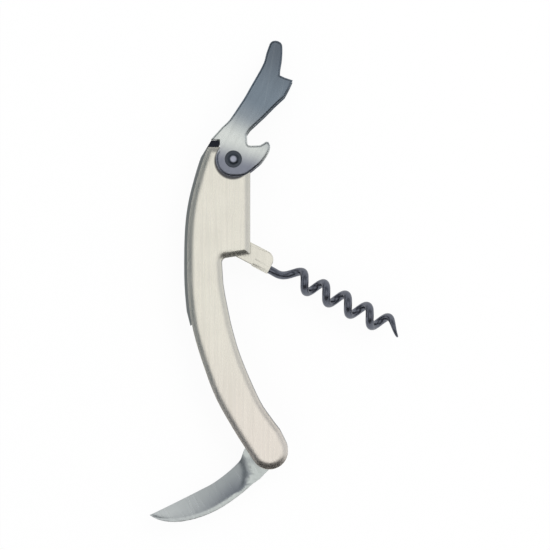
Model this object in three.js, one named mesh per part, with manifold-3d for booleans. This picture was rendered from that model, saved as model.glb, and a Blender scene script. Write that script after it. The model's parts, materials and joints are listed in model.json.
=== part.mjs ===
// Waiter's corkscrew with its lever, worm and foil knife opened out, lying on its side.
// Millimetres. X runs across the handle, Y along it towards the lever, Z through its thickness.
// The pieces are laid out round the lever pivot; the finished model stands on Z = 0 with its
// centre over the origin. "Near" pieces lie on the +Z side of the middle plane, "far" ones below.
import * as THREE from 'three';
import { mergeVertices } from 'three/addons/utils/BufferGeometryUtils.js';
import Module from 'manifold-3d';

const wasm = await Module();
wasm.setup();

// Handle
const caseLength = 108.4;        // lever pivot to the lower end
const caseWidth = 21.9;          // wide upper part, back edge to front edge
const channelWidth = 7.2;        // space between the two liners
const linerThickness = 0.8;
const coverThickness = 0.9;
const coverEdgeRadius = 0.8;     // rolled edge of the pressed covers
const shoulderRadius = 5.8;      // top of the handle, round the lever pivot
const endRadius = 6.5;           // lower end, round the knife pivot
const cornerRadius = 1.7;        // inside corner under the step
const stepSlope = 1.3;           // how much lower the step is at its inside corner

// Springs and bar between the liners
const backSpringProud = 1.1;     // how far the back spring stands out of the case
const backSpringThickness = 3.2;
const hornWidth = 3.4;
const hornFoot = 1.5;            // above the lever pivot, where the horn's back starts to lean in
const leafThickness = 1.0;
const leafEyeRadius = 1.7;
const leafGap = 0.3;             // between the leaf and the worm's round heel
const leafOverlap = 1.5;         // how far the leaf reaches past the worm's pivot
const leafSideGap = 0.4;
const springLugRadius = 1.9;
const frontBarThickness = 2.8;
const frontBarInset = 0.4;

// Lever
const leverLength = 43.8;        // pivot to the tip of the foot
const leverSheet = 1.2;
const earRadius = 6.1;
const earGap = 0.25;             // between an ear and the cover beside it
const webReach = 24.5;           // how far out the two sides stay joined
const stopGap = 0.3;             // between the web's end and the back spring's horn

// Worm
const coilDiameter = 8.7;
const wireDiameter = 2.9;
const pitch = 8.58;
const leadStart = 15.7;          // worm pivot to where the wire starts to bend
const leadEase = 1.4;
const coilStart = 25.0;          // worm pivot to the first crest
const coilTurns = 4.375;
const pointTurns = 0.375;        // last part of a turn, drawn out towards the point
const pointDraw = 2.5;           // how much further along the axis that takes the point
const pointLength = 6.5;         // tapered stretch at the point, along the axis
const pointDiameter = 0.5;
const tangWidth = 6.9;
const tangLength = 14.2;
const tangThickness = 2.6;
const noseRadius = 3.2;          // rounded upper corner at the tang's outer end
const barrelRadius = 1.8;        // tang's lower edge, rolled round the wire's shank
const barrelLength = 6.2;
const shankSeat = 5.4;           // length of the wire's straight shank in the barrel
const shankInset = 1.1;          // wire's centre line inside the coil's, where it leaves the tang
const coilDrop = 0.2;            // coil's axis below the line through the worm pivot
const shankGap = 0.1;
const wormTilt = -27.6;          // degrees below the horizontal

// Knife
const knifeLength = 47.6;        // pivot to point
const knifeThickness = 1.8;
const knifeEdge = 0.3;
const grindHollow = 1.8;         // 1 is a flat grind, more is hollow
const plungeBulge = 0.5;         // how far the middle of the grind's start curves to the ricasso
const tipWidth = 0.25;
const ricassoRadius = 5.3;

// Pins, all round
const leverPinRadius = 1.6;
const toolPinRadius = 1.5;
const casePinRadius = 0.8;
const stopPinRadius = 0.9;
const pinClearance = 0.05;
const turnClearance = 0.08;
const spacerRadius = 2.6;
const toolWasherRadius = 3;
const rivetWasherRadius = 3;
const rivetWasherThickness = 0.45;
const rivetHeadRadius = 2.1;
const rivetHeadHeight = 0.5;
const rivetFlatRadius = 1.3;

const roundSteps = 32;
const wireSides = 8;
const barrelSides = 16;
const stepsPerTurn = 20;
const shankSteps = 4;
const leadSteps = 12;
const bladeSteps = 20;
const grindSteps = 4;
const overrun = 1;

// Heights above the middle plane
const linerInner = channelWidth / 2;
const linerOuter = linerInner + linerThickness;
const coverOuter = linerOuter + coverThickness;
const earInner = coverOuter + earGap;
const earOuter = earInner + leverSheet;
const washerOuter = earOuter + rivetWasherThickness;
const headOuter = washerOuter + rivetHeadHeight;

// Outlines. Across and along the handle as shares of its width and length, from the lever pivot.
const backEdgeShares = [
  [-0.402, 0.039], [-0.5, -0.012], [-0.6, -0.08], [-0.676, -0.145], [-0.722, -0.219],
  [-0.737, -0.318], [-0.724, -0.43], [-0.645, -0.551], [-0.452, -0.68], [-0.262, -0.777],
  [0.01, -0.874], [0.204, -0.936],
];
const frontEdgeShares = [
  [0.744, -0.874], [0.612, -0.839], [0.411, -0.777], [0.132, -0.648], [-0.018, -0.551],
  [-0.123, -0.454], [-0.168, -0.4],
];
const gripCornerShare = -0.19;   // inside corner of the step, across
const frontShare = 0.264;        // front edge of the wide part, across
const stepShare = -0.3054;       // front of the step, along
const backSpringEndShare = -0.5406;
const frontBarShares = [-0.0876, -0.1983];
const knifePivotShares = [0.575, -0.94];
const wormPivotShares = [0.041, -0.278];
const upperSpringPinShares = [-0.484, -0.064];
const lowerSpringPinShares = [-0.566, -0.498];
const leafPinShares = [-0.32, -0.092];
const leafShares = [[-0.385, -0.12], [-0.33, -0.175], [-0.185, -0.24]];
const kickPinShares = [0.487, -0.839];

// The lever's outline as shares of its length, from its pivot.
const hookShares = [
  [0.045, -0.138], [0.093, -0.127], [0.142, -0.096], [0.184, -0.061], [0.219, -0.031],
  [0.256, 0.019], [0.284, 0.07], [0.293, 0.107],
];
const hookTipShares = [[0.28, 0.136], [0.26, 0.139], [0.245, 0.128]];
const mouthShares = [[0.212, 0.11], [0.137, 0.108], [0.115, 0.117], [0.108, 0.14], [0.106, 0.198]];
const armInnerShares = [[0.132, 0.235], [0.25, 0.345], [0.33, 0.426], [0.41, 0.5]];
const spurShares = [[0.444, 0.563], [0.473, 0.627], [0.411, 0.648]];
const footShares = [
  [0.37, 0.667], [0.375, 0.73], [0.386, 0.795], [0.391, 0.87], [0.383, 0.921], [0.34, 0.943],
  [0.299, 0.931], [0.28, 0.89], [0.261, 0.836], [0.247, 0.779], [0.217, 0.715], [0.177, 0.644],
];
const armOuterShares = [
  [0.137, 0.575], [0.095, 0.5], [0.054, 0.436], [-0.006, 0.347], [-0.043, 0.299],
  [-0.094, 0.251], [-0.137, 0.203], [-0.178, 0.158],
];
const neckShare = -0.107;

// The knife's outline as shares of its length, from its pivot, pointing to the lower left. The
// edge and the spine start inside the ricasso, and the grind starts at their second points.
const ricassoTopShares = [[-0.105, 0.083], [-0.186, 0.006], [-0.194, -0.014]];
const knifeEdgeShares = [
  [-0.186, 0.006], [-0.211, -0.065], [-0.254, -0.116], [-0.328, -0.181], [-0.42, -0.247],
  [-0.511, -0.295], [-0.655, -0.368], [-0.801, -0.44], [-0.881, -0.479],
];
const knifeSpineShares = [
  [-0.069, -0.21], [-0.122, -0.247], [-0.216, -0.327], [-0.363, -0.428], [-0.511, -0.494],
  [-0.658, -0.527], [-0.77, -0.524], [-0.844, -0.502], [-0.881, -0.479],
];
const ricassoBottomShares = [[-0.088, -0.223], [-0.069, -0.21], [-0.034, -0.172], [0.01, -0.13]];
const grindRidgeShare = 0.84;    // how far across the blade the hollow grind reaches
const plungeShare = 0.02;        // how far along the blade the grind takes to reach its depth
const tipThicknessShare = 0.35;

const casePoint = ([across, along]) => new THREE.Vector2(across * caseWidth, along * caseLength);
const leverPoint = ([x, y]) => new THREE.Vector2(x * leverLength, y * leverLength);
const knifePoint = ([x, y]) => new THREE.Vector2(x * knifeLength, y * knifeLength);

const leverPivot = new THREE.Vector2(0, 0);
const knifePivot = casePoint(knifePivotShares);
const wormPivot = casePoint(wormPivotShares);
const upperSpringPin = casePoint(upperSpringPinShares);
const lowerSpringPin = casePoint(lowerSpringPinShares);
const leafPin = casePoint(leafPinShares);
const kickPin = casePoint(kickPinShares);
const frontX = frontShare * caseWidth;
const stepY = stepShare * caseLength;
const [barTop, barBottom] = frontBarShares.map((share) => share * caseLength);
const barPin = new THREE.Vector2(
  frontX - frontBarInset - frontBarThickness / 2, (barTop + barBottom) / 2);

// Points on curves

function curve(points, steps) {
  return new THREE.SplineCurve(points).getPoints(steps);
}

function arc(centre, radius, fromDegrees, toDegrees, steps) {
  const points = [];
  for (let i = 0; i <= steps; i++) {
    const angle = THREE.MathUtils.degToRad(fromDegrees + (toDegrees - fromDegrees) * i / steps);
    points.push(new THREE.Vector2(
      centre.x + radius * Math.cos(angle), centre.y + radius * Math.sin(angle)));
  }
  return points;
}

// The same line moved sideways, to the right of its direction of travel
function beside(points, distance) {
  return points.map((point, i) => {
    const before = points[Math.max(i - 1, 0)];
    const after = points[Math.min(i + 1, points.length - 1)];
    const along = after.clone().sub(before).normalize();
    return new THREE.Vector2(point.x + along.y * distance, point.y - along.x * distance);
  });
}

// Solids

function plate(outline, low, high, holes = []) {
  const shape = new THREE.Shape(outline);
  for (const [centre, radius] of holes) {
    shape.holes.push(new THREE.Path(arc(centre, radius, 360, 0, roundSteps).slice(0, -1)));
  }
  const geometry = new THREE.ExtrudeGeometry(shape, { depth: high - low, bevelEnabled: false });
  return geometry.translate(0, 0, low);
}

function rod(centre, radius, low, high) {
  return plate(arc(centre, radius, 0, 360, roundSteps).slice(0, -1), low, high);
}

function ring(centre, outer, inner, low, high) {
  return plate(arc(centre, outer, 0, 360, roundSteps).slice(0, -1), low, high, [[centre, inner]]);
}

function solidOf(geometry) {
  const bare = geometry.clone();
  bare.deleteAttribute('normal');
  bare.deleteAttribute('uv');
  const merged = mergeVertices(bare);
  return new wasm.Manifold(new wasm.Mesh({
    numProp: 3,
    vertProperties: Float32Array.from(merged.attributes.position.array),
    triVerts: Uint32Array.from(merged.index.array),
  }));
}

function geometryOf(solid) {
  const mesh = solid.getMesh();
  const geometry = new THREE.BufferGeometry();
  geometry.setAttribute('position', new THREE.BufferAttribute(mesh.vertProperties, 3));
  geometry.setIndex(new THREE.BufferAttribute(mesh.triVerts, 1));
  return geometry;
}

function join(...geometries) {
  return geometryOf(geometries.map(solidOf).reduce((sum, next) => sum.add(next)));
}

function cut(geometry, ...tools) {
  return geometryOf(tools.map(solidOf).reduce((rest, tool) => rest.subtract(tool), solidOf(geometry)));
}

// A closed tube along a line of points, each with its own radius
function tube(points, radii, sides) {
  const positions = [];
  const indices = [];
  let side = new THREE.Vector3(0, 0, 1);
  points.forEach((point, i) => {
    const before = points[Math.max(i - 1, 0)];
    const after = points[Math.min(i + 1, points.length - 1)];
    const along = after.clone().sub(before).normalize();
    side = side.sub(along.clone().multiplyScalar(side.dot(along))).normalize();
    const up = along.clone().cross(side);
    for (let k = 0; k < sides; k++) {
      const angle = 2 * Math.PI * k / sides;
      const rim = point.clone()
        .addScaledVector(side, radii[i] * Math.cos(angle))
        .addScaledVector(up, radii[i] * Math.sin(angle));
      positions.push(rim.x, rim.y, rim.z);
    }
  });
  for (let i = 0; i + 1 < points.length; i++) {
    for (let k = 0; k < sides; k++) {
      const a = i * sides + k;
      const b = i * sides + (k + 1) % sides;
      indices.push(a, b, b + sides, a, b + sides, a + sides);
    }
  }
  const first = positions.length / 3;
  const last = first + 1;
  positions.push(...points[0].toArray(), ...points[points.length - 1].toArray());
  const lastRing = (points.length - 1) * sides;
  for (let k = 0; k < sides; k++) {
    const next = (k + 1) % sides;
    indices.push(first, next, k, last, lastRing + k, lastRing + next);
  }
  const geometry = new THREE.BufferGeometry();
  geometry.setAttribute('position', new THREE.Float32BufferAttribute(positions, 3));
  geometry.setIndex(indices);
  return geometry;
}

// Liners and covers share one outline

function caseOutline() {
  const back = curve(backEdgeShares.map(casePoint), 44);
  const end = arc(knifePivot, endRadius, 212, 388, 18);
  const front = curve(frontEdgeShares.map(casePoint), 28);
  const cornerX = gripCornerShare * caseWidth;
  const cornerY = stepY - stepSlope;
  const corner = arc(
    new THREE.Vector2(cornerX + cornerRadius, cornerY - cornerRadius), cornerRadius, 180, 98, 6);
  const step = [new THREE.Vector2(frontX, stepY)];
  const shoulder = arc(leverPivot, shoulderRadius, 0, 131, 12);
  return [...back, ...end, ...front, ...corner, ...step, ...shoulder];
}

const caseShape = caseOutline();

function liner(low, high) {
  const grow = pinClearance;
  return plate(caseShape, low, high, [
    [leverPivot, leverPinRadius + grow],
    [wormPivot, toolPinRadius + grow],
    [knifePivot, toolPinRadius + grow],
    [upperSpringPin, casePinRadius + grow],
    [lowerSpringPin, casePinRadius + grow],
    [leafPin, casePinRadius + grow],
    [barPin, casePinRadius + grow],
    [kickPin, stopPinRadius + grow],
  ]);
}

// A cover is pressed with a rolled edge on its outer side only
function cover() {
  const shape = new THREE.Shape(caseShape);
  const flat = coverThickness - coverEdgeRadius;
  const pressing = new THREE.ExtrudeGeometry(shape, {
    depth: 2 * flat,
    bevelSize: coverEdgeRadius,
    bevelThickness: coverEdgeRadius,
    bevelOffset: -coverEdgeRadius,
    bevelSegments: 3,
  }).translate(0, 0, linerOuter - flat);
  const reach = 2 * caseLength;
  const below = new THREE.BoxGeometry(reach, 2 * reach, reach)
    .translate(0, 0, linerOuter - reach / 2);
  const hole = rod(leverPivot, leverPinRadius + pinClearance, linerOuter - overrun, coverOuter + overrun);
  return cut(pressing, below, hole);
}

// Mirrors a piece through the middle plane
function mirrored(geometry) {
  return geometryOf(solidOf(geometry).mirror([0, 0, 1]));
}

// The back spring closes the upper back of the case. Its horn is where the open lever stops.
function backSpring() {
  const end = backSpringEndShare * caseLength;
  const back = curve(backEdgeShares.map(casePoint), 44).filter((point) => point.y > end);
  const outer = beside(back, backSpringProud).filter((point) => point.y < hornFoot);
  const inner = beside(back, backSpringProud - backSpringThickness).filter((point) => point.y < 0);
  const webEnd = leverPoint(armOuterShares.at(-1));
  const hornLeft = new THREE.Vector2(webEnd.x, webEnd.y - stopGap);
  const hornRight = new THREE.Vector2(webEnd.x + hornWidth, webEnd.y - stopGap);
  const throat = new THREE.Vector2(inner[0].x + backSpringProud, 0);
  const strip = plate(
    [...outer, ...inner.reverse(), throat, hornRight, hornLeft], -linerInner, linerInner);
  const lugs = [upperSpringPin, lowerSpringPin].map(
    (pin) => rod(pin, springLugRadius, -linerInner, linerInner));
  const holes = [upperSpringPin, lowerSpringPin].map(
    (pin) => rod(pin, casePinRadius + pinClearance, -linerInner - overrun, linerInner + overrun));
  return cut(join(strip, ...lugs), ...holes);
}

// A leaf from its own pin down to the worm's round heel
function wormSpring() {
  const reach = tangWidth / 2 + leafGap + leafThickness / 2;
  const bearing = new THREE.Vector2(wormPivot.x - reach, wormPivot.y);
  const tip = new THREE.Vector2(bearing.x, bearing.y - leafOverlap);
  const root = new THREE.Vector2(leafPin.x - leafEyeRadius + leafThickness / 2, leafPin.y);
  const middle = curve([root, ...leafShares.map(casePoint), bearing, tip], 20);
  const outline = [...beside(middle, leafThickness / 2), ...beside(middle, -leafThickness / 2).reverse()];
  const half = linerInner - leafSideGap;
  const eye = rod(leafPin, leafEyeRadius, -half, half);
  const hole = rod(leafPin, casePinRadius + pinClearance, -half - overrun, half + overrun);
  return cut(join(plate(outline, -half, half), eye), hole);
}

function frontBar() {
  const right = frontX - frontBarInset;
  const left = right - frontBarThickness;
  const outline = [
    new THREE.Vector2(left, barBottom), new THREE.Vector2(right, barBottom),
    new THREE.Vector2(right, barTop), new THREE.Vector2(left, barTop),
  ];
  return plate(outline, -linerInner, linerInner, [[barPin, casePinRadius + pinClearance]]);
}

// Lever: one sheet folded round the handle, with two ears, a web along its back and a forked foot
const armOuter = curve(armOuterShares.map(leverPoint), 24);

function leverOutline() {
  const neck = neckShare * leverLength;
  const webEnd = armOuter.at(-1).y;
  const discFrom = 180 - THREE.MathUtils.radToDeg(Math.acos(-neck / earRadius));
  return [
    ...armOuter,
    new THREE.Vector2(neck, webEnd),
    ...arc(leverPivot, earRadius, discFrom, 270, 12),
    ...curve(hookShares.map(leverPoint), 14),
    ...curve(hookTipShares.map(leverPoint), 5),
    ...curve(mouthShares.map(leverPoint), 8),
    ...curve(armInnerShares.map(leverPoint), 6),
    ...spurShares.map(leverPoint),
    ...curve(footShares.map(leverPoint), 24),
  ];
}

function lever() {
  const outline = leverOutline();
  const hole = [[leverPivot, leverPinRadius + turnClearance]];
  const webOuter = armOuter.filter((point) => point.length() < webReach);
  const webInner = beside(webOuter, -leverSheet).filter((point) => point.y > armOuter.at(-1).y);
  const web = plate([...webOuter, ...webInner.reverse()], -earOuter, earOuter);
  return join(
    plate(outline, earInner, earOuter, hole), plate(outline, -earOuter, -earInner, hole), web);
}

function leverRivet() {
  const profile = [
    [0, -headOuter], [rivetFlatRadius, -headOuter], [rivetHeadRadius, -washerOuter],
    [leverPinRadius, -washerOuter], [leverPinRadius, washerOuter], [rivetHeadRadius, washerOuter],
    [rivetFlatRadius, headOuter], [0, headOuter],
  ].map(([radius, height]) => new THREE.Vector2(radius, height));
  return new THREE.LatheGeometry(profile, roundSteps).rotateX(Math.PI / 2);
}

// Worm: measured from its pivot, along X, before it is tilted. The coil is right-handed.
const coilRadius = (coilDiameter - wireDiameter) / 2;
const coilEnd = coilStart + coilTurns * pitch + pointDraw;
const shankY = shankInset - coilRadius - coilDrop;

function wormPath() {
  const points = [];
  const shankStart = tangLength - shankSeat;
  for (let i = 0; i < shankSteps; i++) {
    const x = shankStart + (leadStart - shankStart) * i / shankSteps;
    points.push(new THREE.Vector3(x, shankY, 0));
  }
  for (let i = 0; i < leadSteps; i++) {
    const share = i / leadSteps;
    const turn = Math.PI * (share ** leadEase - 1);
    const radius = coilRadius - shankInset * (1 - share);
    points.push(new THREE.Vector3(
      leadStart + (coilStart - leadStart) * share,
      radius * Math.cos(turn) - coilDrop, radius * Math.sin(turn)));
  }
  const steps = Math.round(coilTurns * stepsPerTurn);
  for (let i = 0; i <= steps; i++) {
    const turns = coilTurns * i / steps;
    const drawn = Math.max(1 - (coilTurns - turns) / pointTurns, 0);
    const angle = 2 * Math.PI * turns;
    points.push(new THREE.Vector3(
      coilStart + pitch * turns + pointDraw * drawn ** 2,
      coilRadius * Math.cos(angle) - coilDrop, coilRadius * Math.sin(angle)));
  }
  return points;
}

const wormPoints = wormPath();

function wormHelix() {
  const radii = wormPoints.map((point) => {
    const left = Math.min((coilEnd - point.x) / pointLength, 1);
    return (pointDiameter + (wireDiameter - pointDiameter) * left) / 2;
  });
  return tube(wormPoints, radii, wireSides);
}

// The least gap between turns, over pairs of points more than half a turn apart
function leastGap(points, diameter) {
  const apart = stepsPerTurn / 2;
  let least = Infinity;
  for (let i = 0; i < points.length; i++) {
    for (let j = i + apart; j < points.length; j++) {
      least = Math.min(least, points[i].distanceTo(points[j]));
    }
  }
  return least - diameter;
}

function wormTang() {
  const half = tangWidth / 2;
  const thick = tangThickness / 2;
  const origin = new THREE.Vector2(0, 0);
  const nose = new THREE.Vector2(tangLength - noseRadius, half - noseRadius);
  const outline = [
    ...arc(origin, half, 90, 270, 16),
    new THREE.Vector2(tangLength, -half),
    ...arc(nose, noseRadius, 0, 90, 8),
  ];
  const alongShank = (from, to) => [new THREE.Vector3(from, shankY, 0), new THREE.Vector3(to, shankY, 0)];
  const bore = wireDiameter / 2 + shankGap;
  const blank = plate(outline, -thick, thick, [[origin, toolPinRadius + turnClearance]]);
  const barrel = tube(
    alongShank(tangLength - barrelLength, tangLength), [barrelRadius, barrelRadius], barrelSides);
  const seat = tube(
    alongShank(tangLength - shankSeat - shankGap, tangLength + overrun), [bore, bore], wireSides);
  return cut(join(blank, barrel), seat);
}

function tilted(geometry) {
  return geometry
    .rotateZ(THREE.MathUtils.degToRad(wormTilt)).translate(wormPivot.x, wormPivot.y, 0);
}

// Knife: a flat ricasso round the pivot and a hollow-ground blade, curved in towards its edge
function knife() {
  const half = knifeThickness / 2;
  const origin = new THREE.Vector2(0, 0);
  const ricasso = [
    ...ricassoBottomShares.map(knifePoint),
    ...arc(origin, ricassoRadius, -75, 115, 16),
    ...ricassoTopShares.map(knifePoint),
  ];
  const hole = [[origin, toolPinRadius + turnClearance]];
  const edge = new THREE.SplineCurve(knifeEdgeShares.map(knifePoint));
  const spine = new THREE.SplineCurve(knifeSpineShares.map(knifePoint));
  const plunge = 1 / (knifeEdgeShares.length - 1);
  const grindStart = plunge + plungeShare;
  const stations = [0, plunge];
  for (let i = 0; i <= bladeSteps; i++) {
    stations.push(grindStart + (1 - grindStart) * i / bladeSteps);
  }
  const sections = stations.map((station) => {
    const low = edge.getPoint(station);
    const high = spine.getPoint(station);
    if (station === 1) {
      low.y += tipWidth / 2;
      high.y -= tipWidth / 2;
    }
    const across = high.clone().sub(low).normalize();
    const bulge = plungeBulge * Math.min(1, (1 - station) / (1 - plunge)) ** 4;
    const taper = 1 - (1 - tipThicknessShare) * station ** 2;
    const thick = half * taper;
    const thin = station > plunge ? knifeEdge / 2 * taper : thick;
    const side = [];
    for (let k = 0; k <= grindSteps; k++) {
      const share = k / grindSteps;
      const point = low.clone().lerp(high, grindRidgeShare * share);
      const sideways = 4 * bulge * share * (1 - share);
      const height = thin + (thick - thin) * share ** grindHollow;
      side.push([point.x - across.y * sideways, point.y + across.x * sideways, height]);
    }
    side.push([high.x, high.y, thick]);
    return [...side, ...side.map(([x, y, z]) => [x, y, -z]).reverse()];
  });
  const corners = sections[0].length;
  const last = (sections.length - 1) * corners;
  const indices = [];
  for (let i = 0; i < last; i += corners) {
    for (let k = 0; k < corners; k++) {
      const a = i + k;
      const b = i + (k + 1) % corners;
      indices.push(a, a + corners, b, b, a + corners, b + corners);
    }
  }
  for (let k = 1; k + 1 < corners; k++) {
    indices.push(0, k, k + 1, last, last + k + 1, last + k);
  }
  const blade = new THREE.BufferGeometry();
  blade.setAttribute('position', new THREE.Float32BufferAttribute(sections.flat(2), 3));
  blade.setIndex(indices);
  return join(plate(ricasso, -half, half, hole), blade).translate(knifePivot.x, knifePivot.y, 0);
}

function finish(colour, roughness, metalness = 1) {
  return new THREE.MeshStandardMaterial({ color: colour, roughness, metalness });
}

const satin = finish(0xdedcd0, 0.45, 0.6);
const bareSteel = finish(0xb4b6b8, 0.4);
const springSteel = finish(0x6c7072, 0.45);
const leverSteel = finish(0x7e8894, 0.35);
const darkSteel = finish(0x3c404c, 0.4);
const wireSteel = finish(0x464a54, 0.35);
const bladeSteel = finish(0x959c9f, 0.3);

const parts = new THREE.Group();

function add(name, geometry, material) {
  const mesh = new THREE.Mesh(geometry, material);
  mesh.name = name;
  parts.add(mesh);
}

add('near_liner', liner(linerInner, linerOuter), bareSteel);
add('far_liner', liner(-linerOuter, -linerInner), bareSteel);
const nearCover = cover();
add('near_cover', nearCover, satin);
add('far_cover', mirrored(nearCover), satin);

add('back_spring', backSpring(), springSteel);
add('worm_spring', wormSpring(), springSteel);
add('front_bar', frontBar(), bareSteel);
const casePins = {
  upper_spring_pin: [upperSpringPin, casePinRadius],
  lower_spring_pin: [lowerSpringPin, casePinRadius],
  worm_spring_pin: [leafPin, casePinRadius],
  front_bar_pin: [barPin, casePinRadius],
  knife_stop_pin: [kickPin, stopPinRadius],
  worm_pin: [wormPivot, toolPinRadius],
  knife_pin: [knifePivot, toolPinRadius],
};
for (const [name, [centre, radius]] of Object.entries(casePins)) {
  add(name, rod(centre, radius, -linerOuter, linerOuter), bareSteel);
}

add('lever', lever(), leverSteel);
add('lever_rivet', leverRivet(), darkSteel);
add('lever_spacer',
  ring(leverPivot, spacerRadius, leverPinRadius + pinClearance, -linerInner, linerInner), bareSteel);
for (const side of ['near', 'far']) {
  const stack = (centre, outer, inner, low, high) => (side === 'near'
    ? ring(centre, outer, inner, low, high) : ring(centre, outer, inner, -high, -low));
  add(`${side}_rivet_washer`,
    stack(leverPivot, rivetWasherRadius, leverPinRadius + pinClearance,
      washerOuter - rivetWasherThickness + turnClearance, washerOuter), darkSteel);
  add(`${side}_worm_washer`,
    stack(wormPivot, toolWasherRadius, toolPinRadius + pinClearance,
      tangThickness / 2 + turnClearance, linerInner), bareSteel);
  add(`${side}_knife_washer`,
    stack(knifePivot, toolWasherRadius, toolPinRadius + pinClearance,
      knifeThickness / 2 + turnClearance, linerInner), bareSteel);
}

add('worm_tang', tilted(wormTang()), satin);
add('worm_helix', tilted(wormHelix()), wireSteel);
add('knife', knife(), bladeSteel);

console.log(`Least gap between the turns of the worm: ${leastGap(wormPoints, wireDiameter).toFixed(2)} mm`);

// Stand the model on Z = 0 with the centre of its outline over the origin
const box = new THREE.Box3().setFromObject(parts);
const centre = box.getCenter(new THREE.Vector3());
parts.position.set(-centre.x, -centre.y, -box.min.z);

const corkscrew = new THREE.Group();
corkscrew.add(parts);

export default corkscrew;
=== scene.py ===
import json
import math

import bmesh
import bpy
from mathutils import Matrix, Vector

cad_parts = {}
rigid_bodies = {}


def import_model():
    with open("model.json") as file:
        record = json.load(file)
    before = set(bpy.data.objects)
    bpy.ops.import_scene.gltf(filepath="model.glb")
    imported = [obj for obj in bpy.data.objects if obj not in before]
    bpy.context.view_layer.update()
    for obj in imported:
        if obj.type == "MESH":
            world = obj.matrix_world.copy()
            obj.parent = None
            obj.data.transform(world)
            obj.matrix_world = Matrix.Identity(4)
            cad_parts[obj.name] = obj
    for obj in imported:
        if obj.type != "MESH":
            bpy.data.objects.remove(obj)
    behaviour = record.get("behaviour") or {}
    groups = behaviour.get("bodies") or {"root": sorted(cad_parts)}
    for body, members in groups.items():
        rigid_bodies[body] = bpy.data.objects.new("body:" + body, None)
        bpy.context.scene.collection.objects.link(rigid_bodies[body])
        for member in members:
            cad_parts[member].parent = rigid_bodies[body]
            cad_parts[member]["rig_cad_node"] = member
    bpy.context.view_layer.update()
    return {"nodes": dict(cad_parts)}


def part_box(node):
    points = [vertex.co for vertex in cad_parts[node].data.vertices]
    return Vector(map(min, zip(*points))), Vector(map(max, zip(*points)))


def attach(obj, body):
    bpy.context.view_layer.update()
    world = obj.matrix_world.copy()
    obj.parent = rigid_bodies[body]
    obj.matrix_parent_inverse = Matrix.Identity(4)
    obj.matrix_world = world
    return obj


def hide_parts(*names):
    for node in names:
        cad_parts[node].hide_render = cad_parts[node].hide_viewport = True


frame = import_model()

# The four sides of the case are stamped from flat steel: two liners, which carry every pin,
# and two pressed covers over them. The liners come first. Their cut edges are lightly
# tumbled, and their rims show as a thin bright line round the grip.

MM = 0.001
MERGE = 0.002 * MM
FLAT_TURN = 0.6
PATCH_SCALE = 90
SCRATCH_STRETCH = (9, 2600, 2600)
SCRATCH_TURN = 17
SCRATCH_RANGE = (0.66, 0.72)
SCRATCH_SHINE = 1.25
GLOSS_SPREAD = 0.15
RELIEF = 0.05 * MM
LINER_ROUND = 0.18 * MM


def only(piece):
    """Selects one piece alone and makes it the active one."""
    bpy.ops.object.select_all(action="DESELECT")
    piece.select_set(True)
    bpy.context.view_layer.objects.active = piece


def start_from(node, name):
    """A new piece that starts as a merged copy of the CAD solid, with its flats whole. It is
    left in edit mode, with nothing selected."""
    piece = bpy.data.objects.new(name, frame["nodes"][node].data.copy())
    piece.data.name = name
    bpy.context.scene.collection.objects.link(piece)
    piece.data.materials.clear()
    only(piece)
    bpy.ops.object.mode_set(mode="EDIT")
    bpy.ops.mesh.select_all(action="SELECT")
    bpy.ops.mesh.remove_doubles(threshold=MERGE)
    bpy.ops.mesh.customdata_custom_splitnormals_clear()
    bpy.ops.mesh.dissolve_limited(angle_limit=math.radians(FLAT_TURN))
    bpy.ops.mesh.select_all(action="DESELECT")
    return piece


def choose(piece, kind, test):
    """In edit mode, selects the faces or edges that pass a test, and nothing else."""
    bpy.ops.mesh.select_mode(type=kind)
    bpy.ops.mesh.select_all(action="DESELECT")
    mesh = bmesh.from_edit_mesh(piece.data)
    mesh.normal_update()
    items = mesh.faces if kind == "FACE" else mesh.edges
    for item in items:
        item.select_set(bool(test(item)))
    mesh.select_flush_mode()
    bmesh.update_edit_mesh(piece.data)


def soften(piece, width, segments, turn=30, test=None, clamp=True, profile=0.5):
    """Rounds every edge that turns by more than some degrees and passes the test."""
    def sharp(edge):
        wide = edge.is_manifold and edge.calc_face_angle(0) > math.radians(turn)
        return wide and (test is None or test(edge))
    choose(piece, "EDGE", sharp)
    bpy.ops.mesh.bevel(offset=width, segments=segments, affect="EDGES", clamp_overlap=clamp,
                       profile=profile, miter_outer="ARC")


def finished(piece, angle=40):
    """Leaves edit mode and shades the piece smooth, but for its real corners. Large flats
    stay flat, so that only the rounded edges turn the light."""
    bpy.ops.object.mode_set(mode="OBJECT")
    only(piece)
    bpy.ops.object.shade_smooth_by_angle(angle=math.radians(angle))
    flats = piece.modifiers.new("flats", "WEIGHTED_NORMAL")
    flats.mode = "FACE_AREA"
    flats.keep_sharp = True
    bpy.ops.object.modifier_apply(modifier="flats")


def along(start, end):
    """A share that grows from 0 to 1 on the way from one place to another."""
    way = Vector(end) - Vector(start)

    def share(nodes, links, place):
        gone = nodes.new("ShaderNodeVectorMath")
        gone.operation = "SUBTRACT"
        gone.inputs[1].default_value = start
        part = nodes.new("ShaderNodeVectorMath")
        part.operation = "DOT_PRODUCT"
        part.inputs[1].default_value = way / way.length_squared
        ease = nodes.new("ShaderNodeMapRange")
        ease.interpolation_type = "SMOOTHSTEP"
        links.new(place.outputs["Object"], gone.inputs[0])
        links.new(gone.outputs[0], part.inputs[0])
        links.new(part.outputs["Value"], ease.inputs["Value"])
        return ease.outputs["Result"]

    return share


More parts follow.
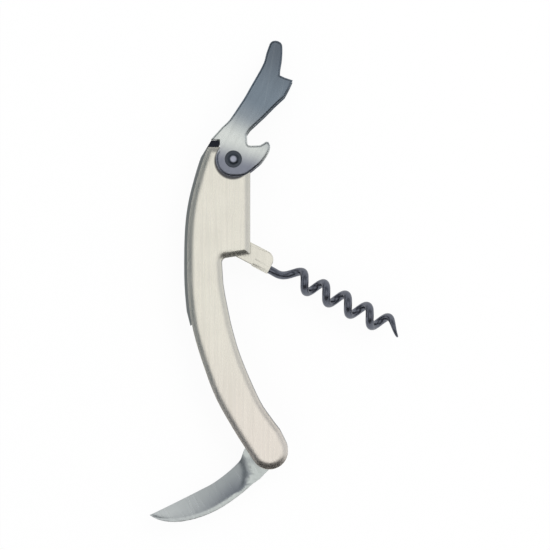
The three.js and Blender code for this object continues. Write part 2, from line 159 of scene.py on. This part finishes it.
def metal(name, colour, roughness, patches=0.04, streaks=(40, 1500, 1500), turn=0,
          bump=0.02, fades=(), worn=0.0):
    """Steel that was ground or brushed one way: fine streaks in its gloss and relief, faint
    cloudy patches in its colour, and a few shallow scratches. Scales are in lines a metre.
    Each fade is a share and the colour that the steel takes where the share is 1."""
    steel = bpy.data.materials.new(name)
    steel.use_nodes = True
    nodes, links = steel.node_tree.nodes, steel.node_tree.links
    nodes.clear()
    out = nodes.new("ShaderNodeOutputMaterial")
    shader = nodes.new("ShaderNodeBsdfPrincipled")
    shader.inputs["Metallic"].default_value = 1.0
    links.new(shader.outputs["BSDF"], out.inputs["Surface"])
    place = nodes.new("ShaderNodeTexCoord")

    def noise(scale, detail, stretch=(1, 1, 1), angle=0):
        move = nodes.new("ShaderNodeMapping")
        move.vector_type = "TEXTURE"
        move.inputs["Rotation"].default_value = (0, 0, math.radians(angle))
        move.inputs["Scale"].default_value = [1 / times for times in stretch]
        grain = nodes.new("ShaderNodeTexNoise")
        grain.inputs["Scale"].default_value = scale
        grain.inputs["Detail"].default_value = detail
        links.new(place.outputs["Object"], move.inputs["Vector"])
        links.new(move.outputs["Vector"], grain.inputs["Vector"])
        return grain.outputs["Fac"]

    def ranged(value, low, high, start=0.3, end=0.7):
        spread = nodes.new("ShaderNodeMapRange")
        spread.inputs["From Min"].default_value = start
        spread.inputs["From Max"].default_value = end
        spread.inputs["To Min"].default_value = low
        spread.inputs["To Max"].default_value = high
        links.new(value, spread.inputs["Value"])
        return spread.outputs["Result"]

    def mixed(share, first, second):
        mix = nodes.new("ShaderNodeMix")
        mix.data_type = "RGBA"
        links.new(share, mix.inputs[0])
        # The two colours of a Mix node are its sockets 6 and 7, and the mixed one is output 2.
        for socket, value in ((6, first), (7, second)):
            if hasattr(value, "links"):
                links.new(value, mix.inputs[socket])
            else:
                mix.inputs[socket].default_value = value
        return mix.outputs[2]

    darker = (*(channel * (1 - patches) for channel in colour), 1)
    lighter = (*(channel * (1 + patches) for channel in colour), 1)
    scratched = (*(min(channel * SCRATCH_SHINE, 1) for channel in colour), 1)
    base = mixed(ranged(noise(scale=PATCH_SCALE, detail=3), 0, 1), darker, lighter)
    for share, shade in fades:
        base = mixed(share(nodes, links, place), base, (*shade, 1))
    grain = noise(scale=1, detail=4, stretch=streaks, angle=turn)
    marks = noise(scale=1, detail=2, stretch=SCRATCH_STRETCH, angle=turn + SCRATCH_TURN)
    base = mixed(ranged(marks, 0, worn, *SCRATCH_RANGE), base, scratched)
    gloss = ranged(grain, roughness * (1 - GLOSS_SPREAD), roughness * (1 + GLOSS_SPREAD))
    links.new(base, shader.inputs["Base Color"])
    links.new(gloss, shader.inputs["Roughness"])
    relief = nodes.new("ShaderNodeBump")
    relief.inputs["Strength"].default_value = bump
    relief.inputs["Distance"].default_value = RELIEF
    links.new(grain, relief.inputs["Height"])
    links.new(relief.outputs["Normal"], shader.inputs["Normal"])
    return steel


def dress(piece, material):
    """Puts the material on a piece, or on a CAD solid that keeps its own shape."""
    piece.data.materials.clear()
    piece.data.materials.append(material)


bare_steel = metal("bare_steel", (0.46, 0.47, 0.48), roughness=0.36, worn=0.4)
for side in ("near", "far"):
    liner = start_from(f"{side}_liner", f"{side}_liner_plate")
    soften(liner, LINER_ROUND, segments=2)
    finished(liner)
    dress(liner, bare_steel)
    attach(liner, "handle")
    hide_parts(f"{side}_liner")

# Between the liners sit plain turned pins and washers, the spacer on the lever's rivet, the
# bar that closes the front of the case, and the leaf that presses on the worm's round heel.
# They are bare steel, cut from rod and strip, and keep the shape that the CAD gives them.

INSIDE = ["upper_spring_pin", "lower_spring_pin", "worm_spring_pin", "front_bar_pin",
          "knife_stop_pin", "worm_pin", "knife_pin", "lever_spacer", "front_bar",
          "near_worm_washer", "far_worm_washer", "near_knife_washer", "far_knife_washer"]
ROUND_STREAKS = (900, 900, 60)
turned_steel = metal("turned_steel", (0.40, 0.41, 0.42), roughness=0.34, streaks=ROUND_STREAKS)
for name in INSIDE:
    dress(frame["nodes"][name], turned_steel)
leaf_steel = metal("leaf_steel", (0.17, 0.18, 0.19), roughness=0.4, turn=70)
dress(frame["nodes"]["worm_spring"], leaf_steel)

# The back spring is a strip of tempered steel that closes the upper back of the case. Its
# outer edge is rubbed smooth, and its lower end tapers to a small step halfway down the grip.
# Its horn, deep in the gap behind the lever, is painted near black as the shade in that gap.

HORN_SHADE_START = 3.2 * MM
HORN_SHADE_END = 2.0 * MM
STEP_HEIGHT = 0.2 * MM
STEP_STRETCH = Vector((0.8, -1.7, 0)) * MM
SPRING_ROUND = 0.35 * MM
spring_low, spring_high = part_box("back_spring")
# Painted shade: the horn darkens to near black over the strip's top few millimetres.
horn_shade = along((0, spring_high.y - HORN_SHADE_START, 0), (0, spring_high.y - HORN_SHADE_END, 0))
spring_steel = metal("spring_steel", (0.17, 0.185, 0.185), roughness=0.32, turn=90, worn=0.3,
                     fades=[(horn_shade, (0.02, 0.022, 0.03))])
spring = start_from("back_spring", "back_spring_strip")
strip = bmesh.from_edit_mesh(spring.data)
for vertex in strip.verts:
    vertex.select_set(vertex.co.y < spring_low.y + STEP_HEIGHT)
bmesh.update_edit_mesh(spring.data)
bpy.ops.transform.translate(value=STEP_STRETCH)
soften(spring, SPRING_ROUND, segments=4)
finished(spring)
dress(spring, spring_steel)
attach(spring, "handle")
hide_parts("back_spring")

# Each cover is pressed from nickel plated sheet: a flat brushed panel whose edge rolls softly
# down to a rim that slopes away to the liner. The plate is a touch warmer towards the knife,
# and a painted shadow lies under the lever's ear, shifted to its lower left, so that it shows
# as a thin dark line round the ear's lower side.

# The tilts are in degrees, one for each of the even strips from the cover's edge inwards.
RIM_WIDTH = 0.85 * MM
RIM_TILTS = [13, 14, 15]
ROLL_WIDTH = 2.15 * MM
ROLL_TILTS = [17, 16, 14.5, 13, 11, 9, 7, 4, 1.5]
COVER_ROUND = 0.12 * MM
RIVET_HOLE = 3 * MM
WARM_START = -5 * MM
WARM_END = -62 * MM
# The ear's painted shadow is full up to one radius and gone past another, round an axis shifted
# to the lower left of the rivet.
EAR_SHADOW_FULL = 6.2 * MM
EAR_SHADOW_GONE = 6.75 * MM
EAR_SHADOW_SHIFT = Vector((-0.2, -0.6, 0)) * MM
FLUSH = 0.01 * MM
FACING = 0.9
rivet_low, rivet_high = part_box("lever_rivet")
rivet_axis = (rivet_low + rivet_high) / 2


def round_spot(centre, full, gone):
    """A share that is 1 up to one distance from an upright axis and 0 past another."""
    def share(nodes, links, place):
        flat = nodes.new("ShaderNodeVectorMath")
        flat.operation = "MULTIPLY"
        flat.inputs[1].default_value = (1, 1, 0)
        radius = nodes.new("ShaderNodeVectorMath")
        radius.operation = "DISTANCE"
        radius.inputs[1].default_value = (centre.x, centre.y, 0)
        ease = nodes.new("ShaderNodeMapRange")
        ease.inputs["From Min"].default_value = gone
        ease.inputs["From Max"].default_value = full
        links.new(place.outputs["Object"], flat.inputs[0])
        links.new(flat.outputs[0], radius.inputs[0])
        links.new(radius.outputs["Value"], ease.inputs["Value"])
        return ease.outputs["Result"]

    return share


warm_end = along((0, WARM_START, 0), (0, WARM_END, 0))
# The painted shadow of the lever's ear on the cover.
ear_shadow = round_spot(rivet_axis + EAR_SHADOW_SHIFT, EAR_SHADOW_FULL, EAR_SHADOW_GONE)
satin_nickel = metal("satin_nickel", (0.79, 0.765, 0.675), roughness=0.27, patches=0.03,
                     streaks=(1300, 35, 1300), bump=0.003, worn=0.05,
                     fades=[(warm_end, (0.835, 0.775, 0.70)), (ear_shadow, (0.09, 0.09, 0.095))])


def cover(node, name, outward):
    """Presses one cover from its CAD plate. Outward is 1 on the near side and -1 on the far."""
    piece = start_from(node, name)
    lowest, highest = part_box(node)
    seat = lowest.z if outward > 0 else highest.z

    def on_seat(face):
        level = abs(face.calc_center_median().z - seat)
        return level < FLUSH and abs(face.normal.z) > FACING

    def round_rivet(edge):
        middle = (edge.verts[0].co + edge.verts[1].co) / 2
        return edge.is_boundary and (middle - rivet_axis).xy.length < RIVET_HOLE

    choose(piece, "FACE", lambda face: not on_seat(face))
    bpy.ops.mesh.delete(type="FACE")
    choose(piece, "EDGE", round_rivet)
    bpy.ops.mesh.edge_face_add()
    bpy.ops.mesh.select_all(action="SELECT")
    bpy.ops.mesh.dissolve_faces()
    bpy.ops.mesh.select_all(action="SELECT")
    profile = [(RIM_WIDTH / len(RIM_TILTS), tilt) for tilt in RIM_TILTS]
    profile += [(ROLL_WIDTH / len(ROLL_TILTS), tilt) for tilt in ROLL_TILTS]
    profile = [(width, width * math.tan(math.radians(tilt))) for width, tilt in profile]
    wall = highest.z - lowest.z - sum(rise for width, rise in profile)
    bpy.ops.mesh.extrude_region_move(TRANSFORM_OT_translate={"value": (0, 0, outward * wall)})
    bpy.ops.mesh.select_all(action="SELECT")
    bpy.ops.mesh.normals_make_consistent(inside=False)

    choose(piece, "FACE", lambda face: face.normal.z * outward > FACING)
    for width, rise in profile:
        bpy.ops.mesh.inset(thickness=width, depth=rise, use_even_offset=True)
    soften(piece, COVER_ROUND, segments=3, turn=40)
    finished(piece, angle=14)
    dress(piece, satin_nickel)
    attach(piece, "handle")
    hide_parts(node)


cover("near_cover", "near_cover_pressing", 1)
cover("far_cover", "far_cover_pressing", -1)

# The lever is one sheet, folded round the handle: two ears on the rivet, each with a hook for
# crown caps, two sides joined by a web along the back, and a forked foot with a spur below
# it. Its cut edges are tumbled round, and each ear is dished a little round its rivet. Its
# steel carries painted shade: darker towards the lower left of each ear, and darker down the
# arm towards the foot.

SHEET = 1.2 * MM
EDGE_WIDTH = 0.84 * MM
EDGE_DEPTH = 0.42
EDGE_PROFILE = 0.34
LEVER_ROUND = 0.2 * MM
BOSS_RADIUS = 2.9 * MM
BOSS_HEIGHT = 0.2 * MM
BOSS_CELL = 0.8 * MM
EAR_RADIUS = 6.3 * MM
DISH_BLEND = 0.55
FLAT = 0.99
ARM_ANGLE = 60
# A painted shade's first two numbers are where it starts and ends along the arm, in millimetres.
ARM_PAINTED_SHADES = [(6, 16, (0.29, 0.33, 0.365)),
              (14, 22, (0.205, 0.25, 0.295)),
              (24, 42, (0.135, 0.16, 0.19))]
NOTCH_SIDE = -4.6 * MM
NOTCH_LOW = 3.8 * MM
NOTCH_HIGH = 7 * MM
# Painted shade on each ear grows from its upper right towards its lower left.
EAR_SHADE_START = Vector((1.7, 6.1, 0)) * MM
EAR_SHADE_END = Vector((-0.5, -1.9, 0)) * MM
lever_low, lever_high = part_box("lever")
lever_half = lever_high.z - rivet_axis.z
arm_way = Vector((math.cos(math.radians(ARM_ANGLE)), math.sin(math.radians(ARM_ANGLE)), 0))


def clamped(share):
    return min(max(share, 0), 1)


def eased(share):
    """A share from 0 to 1 that starts and ends softly."""
    share = clamped(share)
    return share * share * (3 - 2 * share)


def down_arm(start, end):
    """A share that grows from 0 to 1 between two distances from the rivet along the arm,
    in millimetres."""
    return along(rivet_axis + arm_way * start * MM, rivet_axis + arm_way * end * MM)


def outside(edge):
    """The edges of the two outer faces, folds and all, but for the rivet's holes and the
    notch where the web ends."""
    ends = [vertex.co - rivet_axis for vertex in edge.verts]
    level = max(abs(abs(end.z) - lever_half) for end in ends)
    notch = all(end.x < NOTCH_SIDE and NOTCH_LOW < end.y < NOTCH_HIGH for end in ends)
    return level < FLUSH and ends[0].xy.length > BOSS_RADIUS and not notch


def flat_face(face):
    return abs(face.normal.z) > FLAT


def on_ear(face):
    """The two outer faces of the ears."""
    middle = face.calc_center_median()
    level = min(abs(middle.z - z) for z in (lever_low.z, lever_high.z))
    return flat_face(face) and middle.y < rivet_axis.y + EAR_RADIUS and level < FLUSH


# Painted shade: the ears darken towards their lower left, and the arm towards its foot.
ear_painted_shade = along(rivet_axis + EAR_SHADE_START, rivet_axis + EAR_SHADE_END)
lever_fades = [(ear_painted_shade, (0.25, 0.265, 0.315))]
lever_fades += [(down_arm(start, end), shade) for start, end, shade in ARM_PAINTED_SHADES]
lever_steel = metal("lever_steel", (0.70, 0.73, 0.70), roughness=0.3, worn=0.1,
                    streaks=(60, 1100, 1100), turn=62, fades=lever_fades)
lever = start_from("lever", "lever_pressing")
soften(lever, EDGE_WIDTH, segments=5, turn=35, test=outside, clamp=False,
       profile=EDGE_PROFILE)
edges = bmesh.from_edit_mesh(lever.data)
for vertex in edges.verts:
    side = 1 if vertex.co.z > rivet_axis.z else -1
    outer = lever_high.z if side > 0 else lever_low.z
    depth = side * (outer - vertex.co.z)
    away = (vertex.co - rivet_axis).xy.length > BOSS_RADIUS
    if away and depth < EDGE_WIDTH + FLUSH:
        vertex.co.z = outer - side * depth * EDGE_DEPTH
bmesh.update_edit_mesh(lever.data)
soften(lever, LEVER_ROUND, segments=3, turn=35)

choose(lever, "FACE", flat_face)
bpy.ops.mesh.bisect(plane_co=rivet_axis + Vector((0, EAR_RADIUS, 0)), plane_no=(0, 1, 0))
cells = int(EAR_RADIUS / BOSS_CELL)
for step in range(-cells, cells + 1):
    for way in ((1, 0, 0), (0, 1, 0)):
        choose(lever, "FACE", on_ear)
        bpy.ops.mesh.bisect(plane_co=rivet_axis + Vector(way) * step * BOSS_CELL, plane_no=way)
ear = bmesh.from_edit_mesh(lever.data)
for vertex in ear.verts:
    gone = (vertex.co - rivet_axis).xy
    if gone.length > BOSS_RADIUS and vertex.co.y < rivet_axis.y + EAR_RADIUS:
        side = 1 if vertex.co.z > rivet_axis.z else -1
        fall = eased((gone.length - BOSS_RADIUS) / (EAR_RADIUS - BOSS_RADIUS))
        off_arm = clamped((DISH_BLEND - gone.normalized().dot(arm_way.xy)) / (2 * DISH_BLEND))
        through = clamped((abs(vertex.co.z - rivet_axis.z) - (lever_half - SHEET)) / SHEET)
        vertex.co.z -= side * BOSS_HEIGHT * fall * off_arm * through
bmesh.update_edit_mesh(lever.data)
finished(lever)
dress(lever, lever_steel)
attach(lever, "lever")
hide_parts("lever")

# One rivet carries the lever. Its ends are peened to low buttons over two dark dished
# washers, and the top of each button carries a painted highlight.

BUTTON_BRIGHT = 0.75 * MM
BUTTON_DARK = 1.35 * MM
BUTTON_ROUND = 0.15 * MM
# The painted highlight is full inside one radius from the rivet's axis and gone past another.
button_painted_highlight = round_spot(rivet_axis, BUTTON_BRIGHT, BUTTON_DARK)
dark_steel = metal("dark_steel", (0.07, 0.08, 0.095), roughness=0.36, streaks=ROUND_STREAKS)
button_steel = metal("button_steel", (0.05, 0.06, 0.075), roughness=0.36,
                     streaks=ROUND_STREAKS, fades=[(button_painted_highlight, (0.42, 0.44, 0.52))])
for name, steel in (("lever_rivet", button_steel), ("near_rivet_washer", dark_steel),
                    ("far_rivet_washer", dark_steel)):
    turned = start_from(name, name + "_turned")
    soften(turned, BUTTON_ROUND, segments=3, turn=25)
    finished(turned)
    dress(turned, steel)
    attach(turned, "handle")
    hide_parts(name)

# The worm is hardened wire, wound right-handed and ground to a point. Its straight shank sits
# in the rolled lower edge of a flat satin tang, which turns on a pin between the liners.

TANG_HALF = 1.3 * MM
BARREL_SHARE = 0.35
TANG_ROUND = 0.3 * MM
TANG_MERGE = 0.01 * MM
TANG_SPECK = 0.005 * MM
WIRE_SWELL = 0.142 * MM
tang_low, tang_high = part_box("worm_tang")
tang_middle = (tang_low.z + tang_high.z) / 2


def on_tang_flat(edge):
    levels = [abs(vertex.co.z - tang_middle) for vertex in edge.verts]
    return all(abs(level - TANG_HALF) < FLUSH for level in levels)


tang = start_from("worm_tang", "worm_tang_plate")
plate = bmesh.from_edit_mesh(tang.data)
for vertex in plate.verts:
    rise = abs(vertex.co.z - tang_middle) - TANG_HALF
    if rise > 0:
        side = 1 if vertex.co.z > tang_middle else -1
        vertex.co.z = tang_middle + side * (TANG_HALF + rise * BARREL_SHARE)
bmesh.update_edit_mesh(tang.data)
soften(tang, TANG_ROUND, segments=3, turn=50, clamp=False, test=on_tang_flat)
bpy.ops.mesh.select_all(action="SELECT")
bpy.ops.mesh.remove_doubles(threshold=TANG_MERGE)
bpy.ops.mesh.dissolve_degenerate(threshold=TANG_SPECK)
finished(tang)
dress(tang, satin_nickel)
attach(tang, "worm")
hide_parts("worm_tang")

# The CAD's wire has few sides, and subdividing it draws it in, so it is swelled first.
wire_steel = metal("wire_steel", (0.14, 0.15, 0.18), roughness=0.34)
worm = start_from("worm_helix", "worm_wire")
bpy.ops.mesh.select_all(action="SELECT")
bpy.ops.mesh.tris_convert_to_quads()
bpy.ops.transform.shrink_fatten(value=WIRE_SWELL)
bpy.ops.object.mode_set(mode="OBJECT")
smooth = worm.modifiers.new("round", "SUBSURF")
smooth.levels = smooth.render_levels = 2
bpy.ops.object.modifier_apply(modifier="round")
finished(worm, angle=60)
dress(worm, wire_steel)
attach(worm, "worm")
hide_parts("worm_helix")

# The foil knife is one blank: a flat round root on its pin, and a curved blade ground hollow
# to its edge, with a narrow flat left along its back. The wheel's round rim left the arc
# where the grind starts, and the grind is darker and finer than the flats.

BLADE_ANGLE = 207
KNIFE_CELL = 0.5 * MM
COLUMNS_PAST_ARC = 14
ROWS_PAST_ARC = 16
KNIFE_EDGE = 0.16 * MM
KNIFE_LEDGE = 0.05 * MM
STEEP = 0.3
KNIFE_MERGE = 0.004 * MM
KNIFE_ROUND = 0.08 * MM
ROOT_TO_GRIND = Vector((-15.29, -7.34, 0)) * MM
GRIND_RADIUS = 8.69 * MM
GRIND_LENGTH = 40 * MM
GRIND_START = 4.5 * MM
GRIND_MARGIN = 1 * MM
GRIND_REACH = 0.84
GRIND_HOLLOW = 2.6
TIP_SHARE = 0.45
ARC_WIDTH = 0.5 * MM
BACK_LINE_START = 0.03
BACK_LINE_WIDTH = 0.04
GROUND_BRIGHT = 0.4
SHADE_START = Vector((28, 16, 0)) * MM
SHADE_END = Vector((3, 3, 0)) * MM
knife_low, knife_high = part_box("knife")
knife_half = (knife_high.z - knife_low.z) / 2
knife_corner = Vector((knife_low.x, knife_low.y, 0))
pin_low, pin_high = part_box("knife_pin")
knife_axis = (pin_low + pin_high) / 2
grind_centre = knife_axis + ROOT_TO_GRIND
blade_way = Vector((math.cos(math.radians(BLADE_ANGLE)), math.sin(math.radians(BLADE_ANGLE)), 0))
blade_side = Vector((-blade_way.y, blade_way.x, 0))


def ground_length(place):
    """How far a place lies past the arc where the grind starts."""
    gone = place - grind_centre
    aside = gone.dot(blade_side)
    return gone.dot(blade_way) + math.sqrt(max(GRIND_RADIUS ** 2 - aside ** 2, 0))


def distance_to(line, place):
    """The distance from a place to the nearest point of a line of places."""
    best = math.inf
    for start, end in zip(line, line[1:]):
        way = end - start
        if way.length_squared > 0:
            share = clamped((place - start).dot(way) / way.length_squared)
            best = min(best, (place - start - way * share).length)
    return best


def read_ground(nodes, links, place):
    """The share of the grind that was worked out for every vertex of the blade."""
    ground = nodes.new("ShaderNodeAttribute")
    ground.attribute_name = "ground"
    return ground.outputs["Fac"]


towards_tip = along(knife_corner + SHADE_START, knife_corner + SHADE_END)
blade_steel = metal("blade_steel", (0.60, 0.64, 0.62), roughness=0.3, worn=0.1,
                    streaks=(1500, 60, 1500), turn=30,
                    fades=[(read_ground, (0.205, 0.225, 0.25)),
                           (towards_tip, (0.53, 0.56, 0.56))])
knife = start_from("knife", "knife_blade")
blade = bmesh.from_edit_mesh(knife.data)
blade.normal_update()
rims = set()
for face in blade.faces:
    levels = [vertex.co.z for vertex in face.verts]
    if abs(face.normal.z) < STEEP and max(levels) - min(levels) > KNIFE_LEDGE:
        rims.update(face.verts)
lines = {"edge": [], "spine": []}
for vertex in blade.verts:
    if vertex in rims and ground_length(vertex.co) > -GRIND_MARGIN:
        thin = abs(vertex.co.z - knife_axis.z) < KNIFE_EDGE
        outer = (vertex.co - grind_centre).dot(blade_side) > 0
        line = lines["spine" if outer and not thin else "edge"]
        line.append(Vector((vertex.co.x, vertex.co.y, 0)))
for line in lines.values():
    line.sort(key=lambda place: (place - grind_centre).dot(blade_way))
for way, low, arc, past in (((1, 0, 0), knife_low.x, grind_centre.x, COLUMNS_PAST_ARC),
                            ((0, 1, 0), knife_low.y, grind_centre.y, ROWS_PAST_ARC)):
    for step in range(int(low / KNIFE_CELL), int(arc / KNIFE_CELL) + past):
        bpy.ops.mesh.select_all(action="SELECT")
        bpy.ops.mesh.bisect(plane_co=Vector(way) * step * KNIFE_CELL, plane_no=way)
blade = bmesh.from_edit_mesh(knife.data)
ground = blade.verts.layers.float.new("ground")
for vertex in blade.verts:
    place = Vector((vertex.co.x, vertex.co.y, 0))
    start = eased(ground_length(place) / GRIND_START)
    if start > 0:
        to_edge = distance_to(lines["edge"], place)
        to_spine = distance_to(lines["spine"], place)
        across = to_edge / (to_edge + to_spine)
        gone = clamped((place - grind_centre).dot(blade_way) / GRIND_LENGTH)
        taper = 1 - (1 - TIP_SHARE) * gone ** 2
        rise = min(across / GRIND_REACH, 1) ** GRIND_HOLLOW
        height = taper * (KNIFE_EDGE + (knife_half - KNIFE_EDGE) * rise)
        side = 1 if vertex.co.z > knife_axis.z else -1
        vertex.co.z = knife_axis.z + side * (knife_half + (height - knife_half) * start)
        past_arc = eased(ground_length(place) / ARC_WIDTH)
        bright = GROUND_BRIGHT * (1 - eased(across / GRIND_REACH))
        back_line = eased((across - GRIND_REACH + BACK_LINE_START) / BACK_LINE_WIDTH)
        vertex[ground] = past_arc * (1 - bright) * (1 - back_line)
bmesh.update_edit_mesh(knife.data)
bpy.ops.mesh.select_all(action="SELECT")
bpy.ops.mesh.remove_doubles(threshold=KNIFE_MERGE)
soften(knife, KNIFE_ROUND, segments=2, turn=50, clamp=False)
finished(knife)
dress(knife, blade_steel)
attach(knife, "knife")
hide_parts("knife")

# The tool lies on a plain white table under a wide soft lamp and a white sky. Only the metal
# sees the walls: dark ones at the left and the front, paler ones opposite. They hang clear of
# the table, so that a side seen from low down still mirrors bright sky.

TABLE_SIZE = 6
TABLE_COLOUR = (0.9, 0.9, 0.9, 1)
TABLE_GLOW = 0.93
SKY_STRENGTH = 0.9
WHITE = (1, 1, 1, 1)
LAMP_PLACE = (0.6, 0.55, 1.1)
LAMP_SIZE = 1.0
LAMP_POWER = 5
CAMERA_HEIGHT = 0.95
SENSOR_WIDTH = 36
FRAME_WIDTH = 0.1925
FRAME_CENTRE = (0.34 * MM, 2.46 * MM)
FRAME_LEVEL = 10.7 * MM


def straight_ray(nodes, links):
    """A share that is 1 for what the camera and the metal see, and 0 for soft light."""
    path = nodes.new("ShaderNodeLightPath")
    seen = nodes.new("ShaderNodeMath")
    seen.operation = "ADD"
    through = nodes.new("ShaderNodeMath")
    through.operation = "ADD"
    through.use_clamp = True
    links.new(path.outputs["Is Camera Ray"], seen.inputs[0])
    links.new(path.outputs["Is Glossy Ray"], seen.inputs[1])
    links.new(seen.outputs[0], through.inputs[0])
    links.new(path.outputs["Is Transmission Ray"], through.inputs[1])
    return through.outputs[0]


bpy.ops.mesh.primitive_plane_add(size=TABLE_SIZE, location=(0, 0, 0))
table = bpy.context.object
table.name = "table"
white = bpy.data.materials.new("white_table")
white.use_nodes = True
nodes, links = white.node_tree.nodes, white.node_tree.links
nodes.clear()
out = nodes.new("ShaderNodeOutputMaterial")
matt = nodes.new("ShaderNodeBsdfDiffuse")
matt.inputs["Color"].default_value = TABLE_COLOUR
glow = nodes.new("ShaderNodeEmission")
glow.inputs["Color"].default_value = WHITE
blend = nodes.new("ShaderNodeMixShader")
share = nodes.new("ShaderNodeMath")
share.operation = "MULTIPLY"
share.inputs[1].default_value = TABLE_GLOW
links.new(straight_ray(nodes, links), share.inputs[0])
links.new(share.outputs[0], blend.inputs["Fac"])
links.new(matt.outputs[0], blend.inputs[1])
links.new(glow.outputs[0], blend.inputs[2])
links.new(blend.outputs[0], out.inputs["Surface"])
table.data.materials.append(white)

# Each wall has a name, a colour, the two ends of its foot as seen from above, and the heights
# of its foot and its head, in metres.
WALLS = [("left_wall", (0.155, 0.185, 0.215), (-1.2, -0.75), (-1.2, 1.4), 0.9, 2.6),
         ("near_corner", (0.11, 0.12, 0.14), (-1.2, -1.2), (-1.2, -0.75), 0.7, 2.9),
         ("far_corner", (0.42, 0.43, 0.45), (1.5, 0.65), (0.65, 1.5), 0.9, 3.2),
         ("front_wall", (0.02, 0.02, 0.02), (-1.2, -1.2), (3.2, -1.2), 0.6, 3.4),
         ("right_wall", (0.71, 0.73, 0.77), (3.2, -1.2), (3.2, 1.4), 2, 7),
         ("back_wall", (0.30, 0.31, 0.33), (-1.2, 1.4), (3.2, 1.4), 0.9, 3)]
for name, colour, start, end, foot, head in WALLS:
    way = Vector(end) - Vector(start)
    middle = Vector(start) + way / 2
    bpy.ops.mesh.primitive_plane_add(size=1, location=(*middle, (foot + head) / 2))
    wall = bpy.context.object
    wall.name = name
    wall.scale = (way.length, head - foot, 1)
    wall.rotation_euler = (math.radians(90), 0, math.atan2(way.y, way.x))
    paint = bpy.data.materials.new(name + "_paint")
    paint.use_nodes = True
    matt = paint.node_tree.nodes["Principled BSDF"]
    matt.inputs["Base Color"].default_value = (*colour, 1)
    matt.inputs["Roughness"].default_value = 1.0
    wall.data.materials.append(paint)
    wall.visible_camera = False
    wall.visible_diffuse = False
    wall.visible_transmission = False
    wall.visible_shadow = False

world = bpy.data.worlds.new("studio")
bpy.context.scene.world = world
world.use_nodes = True
nodes, links = world.node_tree.nodes, world.node_tree.links
nodes.clear()
out = nodes.new("ShaderNodeOutputWorld")
soft = nodes.new("ShaderNodeBackground")
soft.inputs["Color"].default_value = WHITE
soft.inputs["Strength"].default_value = SKY_STRENGTH
plain = nodes.new("ShaderNodeBackground")
plain.inputs["Color"].default_value = WHITE
plain.inputs["Strength"].default_value = 1.0
blend = nodes.new("ShaderNodeMixShader")
links.new(straight_ray(nodes, links), blend.inputs["Fac"])
links.new(soft.outputs[0], blend.inputs[1])
links.new(plain.outputs[0], blend.inputs[2])
links.new(blend.outputs[0], out.inputs["Surface"])

bpy.ops.object.light_add(type="AREA", location=LAMP_PLACE)
lamp = bpy.context.object
lamp.name = "soft_lamp"
lamp.data.shape = "DISK"
lamp.data.size = LAMP_SIZE
lamp.data.energy = LAMP_POWER
lamp.visible_glossy = False
lamp.rotation_euler = (-lamp.location).to_track_quat("-Z", "Y").to_euler()

# The camera looks straight down, and its picture is FRAME_WIDTH wide at the covers' level.
bpy.ops.object.camera_add(location=(*FRAME_CENTRE, FRAME_LEVEL + CAMERA_HEIGHT))
camera = bpy.context.object
camera.name = "camera"
camera.rotation_euler = (0, 0, 0)
camera.data.sensor_width = SENSOR_WIDTH
camera.data.lens = SENSOR_WIDTH * CAMERA_HEIGHT / FRAME_WIDTH
bpy.context.scene.camera = camera
bpy.context.scene.view_settings.view_transform = "Standard"
